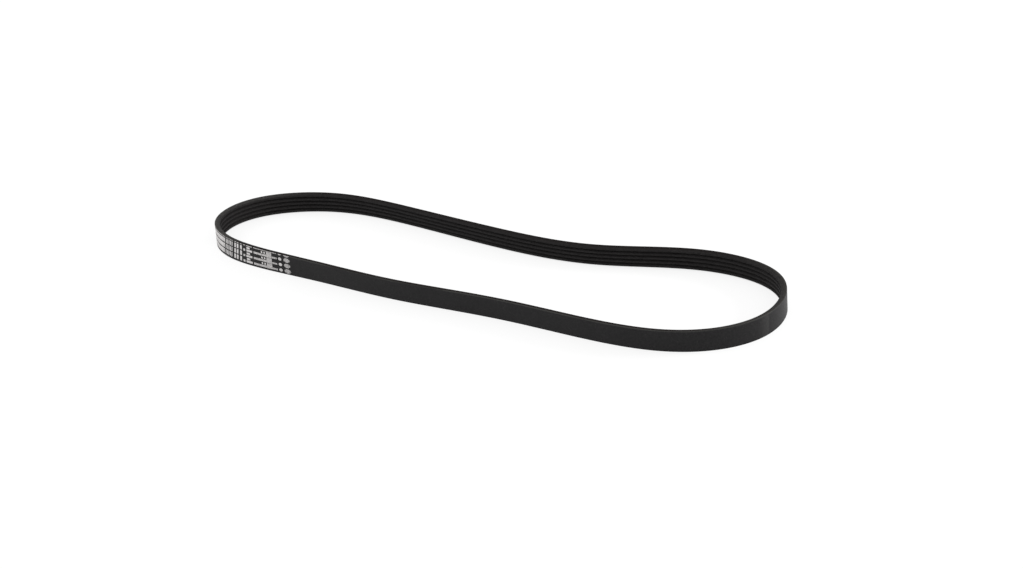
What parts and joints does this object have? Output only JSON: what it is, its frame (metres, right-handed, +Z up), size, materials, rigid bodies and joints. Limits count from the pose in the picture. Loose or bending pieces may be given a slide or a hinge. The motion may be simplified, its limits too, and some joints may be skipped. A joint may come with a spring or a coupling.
{
  "type": "serpentine belt",
  "caption": "Endless drive belt with a flat back and V-shaped ribs along its inside, standing on its edge as a long loop with rounded ends and a slight waist.",
  "frame": {"origin": "middle of the loop's bounding box, on the lower cut edge that it stands on", "axes": "+X along the loop towards its wide end, +Y across the loop towards its waisted side, +Z up across the belt's width"},
  "size_m": [0.5014, 0.1278, 0.0178],
  "materials": {
    "belt_rubber": "matt black rubber with a fine cross grain"
  },
  "bodies": {
    "root": {"belt": "belt_rubber"}
  },
  "joints": []
}
